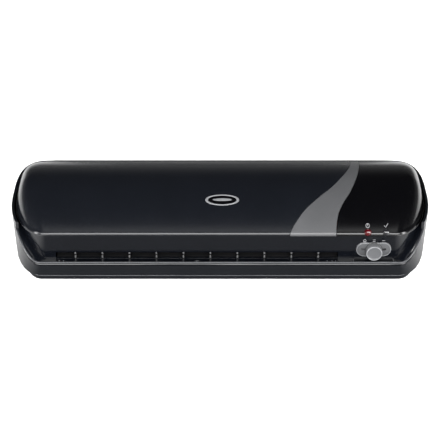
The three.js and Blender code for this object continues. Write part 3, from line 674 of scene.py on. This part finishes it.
# Rounded beads along the tray's lip, the plinth's ledge and the ends of the lid, each coloured lighter than
# the plastic round it as a painted highlight
beads = {
    "steps": 40, "sides": 12, "lip": 0.95, "lipTurn": 1.12, "lipInset": 1.0, "lipDrop": 1.2,
    "ledge": 0.42, "ledgeStraight": 147, "ledgeEnd": 20, "ledgeHalf": 63.6, "ledgeInset": 0.15,
    "ledgeDrop": 0.5,
    "lid": 0.22, "lidLevel": 0.04, "lidTurns": (-0.48, 0.42),  # parts of a half turn, from front to rear
}


def wallPoint(side, turn, inset):
    t, z = trayShape, trayShape["frontRim"]
    for _ in range(t["passes"]):  # the rim rises towards the rear, and the wall grows with it
        share = (z - t["foot"]) / (t["top"] - t["foot"])
        straight, end, half = (mix(*t[key], share) for key in ("straight", "end", "half"))
        y = -(half - inset) * math.cos(turn)
        rise = min(1, max(0, (y - inset - t["front"]) / t["rise"]))
        z = mix(t["frontRim"], t["top"], math.sin(rise * math.pi / 2))
    return side * (straight + (end - inset) * math.sin(turn)), y, z


def makeBeads():
    b, steps = beads, beads["steps"]
    lip, ledge = [], []
    for side in (-1, 1):
        bend = [wallPoint(side, b["lipTurn"] * (i / steps), b["lipInset"]) for i in range(steps + 1)]
        lip += reversed(bend) if side < 0 else bend
    addBead("lipBead", [(x, y, z - b["lipDrop"]) for x, y, z in lip], b["lip"], "lipHighlightGrey")
    for side in (-1, 1):
        for i in range(steps + 1):
            turn = math.pi / 2 * (i / steps if side > 0 else 1 - i / steps)
            x = b["ledgeStraight"] + b["ledgeEnd"] * math.sin(turn) - b["ledgeInset"]
            y = -(b["ledgeHalf"] - b["ledgeInset"]) * math.cos(turn)
            ledge.append((side * x, y, trayShape["foot"] - b["ledgeDrop"]))
    addBead("ledgeBead", ledge, b["ledge"], "lipHighlightGrey")
    row = archRow(b["lidLevel"])
    for side, word in ((-1, "left"), (1, "right")):
        edge = []
        for i in range(steps + 1):
            x, along = roundedEnd(row, math.pi * mix(*b["lidTurns"], i / steps))
            edge.append((side * x, coverShape["middle"] + along, row["z"]))
        # the lid's edge bead is a painted highlight line in a lighter grey
        addBead(word + "LidBead", edge, b["lid"], "edgeHighlightGrey")


def addBead(name, path, wire, finish):
    verts, faces = tubeMesh(path, wire, beads["sides"], False)
    makePiece(name, verts, faces, finishes[finish], "housing", softAngle)


# Pale floor: the camera sees it bright, while the object gets less light back from it
floorLook = {
    "size": 6, "color": (0.9, 0.9, 0.9), "darkTone": 0.995, "cloud": (3, 2), "roughness": 0.9, "glow": 0.55,
    "bounce": (0.15, 0.19, 0.2, 1.0),  # two distances from the middle, in metres, and the light given back
}
# Softboxes: place, size, power, seen in reflections
lamps = {
    "frontStrip": ((0, -1.7, 0.8), (2.6, 0.8), 64, True),
    "leftEdgeStrip": ((-1.3, -0.75, 0.4), (0.35, 0.9), 15, True),
    "rightEdgeStrip": ((1.3, -0.75, 0.4), (0.35, 0.9), 15, True),
    "frontHighFill": ((0, -0.75, 1.9), (1.6, 0.3), 2, True),
    "leftSoftbox": ((-1.7, -0.1, 1.2), (1.4, 1.6), 30, False),
    "rightSoftbox": ((1.7, -0.1, 1.2), (1.4, 1.6), 30, False),
}
lampAim = (0, 0, 0.03)
# The room's light: height share and grey at the horizon and overhead
sky = {"horizon": (0.05, (0.3, 0.3, 0.3, 1)), "overhead": (0.5, (0.03, 0.03, 0.032, 1)), "strength": 0.8}


def makeFloor():
    f, size = floorLook, floorLook["size"]
    mesh = bpy.data.meshes.new("studioFloor")
    corners = [(-size, -size, 0), (size, -size, 0), (size, size, 0), (-size, size, 0)]
    mesh.from_pydata(corners, [], [(0, 1, 2, 3)])
    floor = bpy.data.objects.new("studioFloor", mesh)
    bpy.context.scene.collection.objects.link(floor)
    material, tree, shader = newMaterial("paleFloor")
    addTone(tree, shader, addNoise(tree, *f["cloud"]), toned(f["color"], f["darkTone"]), f["color"])
    shader.inputs["Roughness"].default_value = f["roughness"]
    shader.inputs["Emission Color"].default_value = (1, 1, 1, 1)
    shader.inputs["Emission Strength"].default_value = f["glow"]
    bounce = tree.nodes.new("ShaderNodeBsdfDiffuse")
    place = tree.nodes.new("ShaderNodeTexCoord")
    split = tree.nodes.new("ShaderNodeSeparateXYZ")
    away = tree.nodes.new("ShaderNodeMath")
    away.operation = "ABSOLUTE"
    sides = tree.nodes.new("ShaderNodeMapRange")  # more light beside the ends than in front
    for key, value in zip(("From Min", "From Max", "To Min", "To Max"), f["bounce"]):
        sides.inputs[key].default_value = value
    path = tree.nodes.new("ShaderNodeLightPath")
    choose = tree.nodes.new("ShaderNodeMixShader")
    tree.links.new(place.outputs["Object"], split.inputs["Vector"])
    tree.links.new(split.outputs["X"], away.inputs[0])
    tree.links.new(away.outputs[0], sides.inputs["Value"])
    tree.links.new(sides.outputs["Result"], bounce.inputs["Color"])
    tree.links.new(path.outputs["Is Camera Ray"], choose.inputs[0])
    tree.links.new(bounce.outputs[0], choose.inputs[1])
    tree.links.new(shader.outputs[0], choose.inputs[2])
    tree.links.new(choose.outputs[0], tree.nodes["Material Output"].inputs["Surface"])
    mesh.materials.append(material)


def makeLamps():
    for name, (place, extent, power, glossy) in lamps.items():
        light = bpy.data.lights.new(name, "AREA")
        light.shape = "RECTANGLE"
        light.size, light.size_y = extent
        light.energy = power
        lamp = bpy.data.objects.new(name, light)
        bpy.context.scene.collection.objects.link(lamp)
        lamp.location = place
        lamp.visible_glossy = glossy
        lamp.rotation_euler = (Vector(lampAim) - Vector(place)).to_track_quat("-Z", "Y").to_euler()


def makeSky():
    world = bpy.data.worlds.new("softRoom")
    world.use_nodes = True
    tree = world.node_tree
    background = tree.nodes["Background"]
    place = tree.nodes.new("ShaderNodeTexCoord")
    split = tree.nodes.new("ShaderNodeSeparateXYZ")
    ramp = tree.nodes.new("ShaderNodeValToRGB")
    for element, (position, color) in zip(ramp.color_ramp.elements, (sky["horizon"], sky["overhead"])):
        element.position = position
        element.color = color
    tree.links.new(place.outputs["Generated"], split.inputs["Vector"])
    tree.links.new(split.outputs["Z"], ramp.inputs["Fac"])
    tree.links.new(ramp.outputs["Color"], background.inputs["Color"])
    background.inputs["Strength"].default_value = sky["strength"]
    bpy.context.scene.world = world
    bpy.context.scene.view_settings.view_transform = "Standard"


# A long lens from the front, looking down at the lid
view = {"elevation": 31, "distance": 1.4, "target": (0, -0.0126, 0.0275), "lens": 136.2, "sensorWidth": 36}


def makeCamera():
    elevation = math.radians(view["elevation"])
    back = Vector((0, -math.cos(elevation), math.sin(elevation))) * view["distance"]
    data = bpy.data.cameras.new("productCamera")
    data.lens = view["lens"]
    data.sensor_width = view["sensorWidth"]
    camera = bpy.data.objects.new("productCamera", data)
    bpy.context.scene.collection.objects.link(camera)
    camera.location = Vector(view["target"]) + back
    camera.rotation_euler = (-back).to_track_quat("-Z", "Y").to_euler()
    bpy.context.scene.camera = camera


dressNodes()
makeCovers()
makeBadge()
makeCoverMark()
makeControlMarks()
makeShelfMarks()
print("badge and printed marks built")
makeRunners()
makeRings()
makeBeads()
print("runners, rings and beads built")
makeFloor()
makeLamps()
makeSky()
print("studio lit")
makeCamera()
print("camera set")
